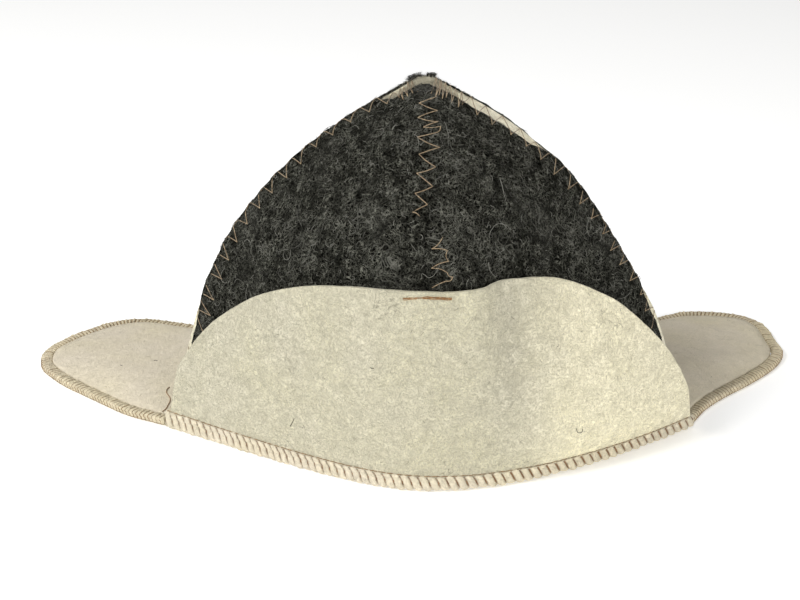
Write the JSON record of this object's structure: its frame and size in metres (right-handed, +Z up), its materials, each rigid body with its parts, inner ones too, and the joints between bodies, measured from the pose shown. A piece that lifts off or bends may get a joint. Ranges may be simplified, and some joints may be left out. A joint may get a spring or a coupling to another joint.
{
  "type": "sauna hat",
  "caption": "Pointed felt sauna hat of dark grey and cream gores with a turned-up cream front flap, a splayed ear flap round the back and overlocked edges, standing on its hem.",
  "frame": {"origin": "middle of the footprint, at the level of the table that the hat stands on", "axes": "+Z up to the crown's point; the front flap faces -Y; +X is to the right as seen from the front"},
  "size_m": [0.3918, 0.2192, 0.1777],
  "materials": {
    "felt_grey": "hairy dark grey wool felt, heathered with lighter fibres, no shine",
    "felt_cream": "thick cream wool felt, softly matt, with a few dark and brown fibres in it",
    "edging_thread": "cream felt edge wrapped in a beige and tan overlock thread"
  },
  "bodies": {
    "root": {"crown_front_left": "felt_grey", "crown_front_right": "felt_grey", "crown_back_left": "felt_grey", "crown_back_right": "felt_grey", "lining_front_left": "felt_cream", "lining_front_right": "felt_cream", "lining_back_left": "felt_cream", "lining_back_right": "felt_cream", "front_flap": "felt_cream", "ear_flap": "felt_cream", "front_hem_edging": "edging_thread", "back_hem_edging": "edging_thread", "ear_flap_edging": "edging_thread"}
  },
  "joints": []
}
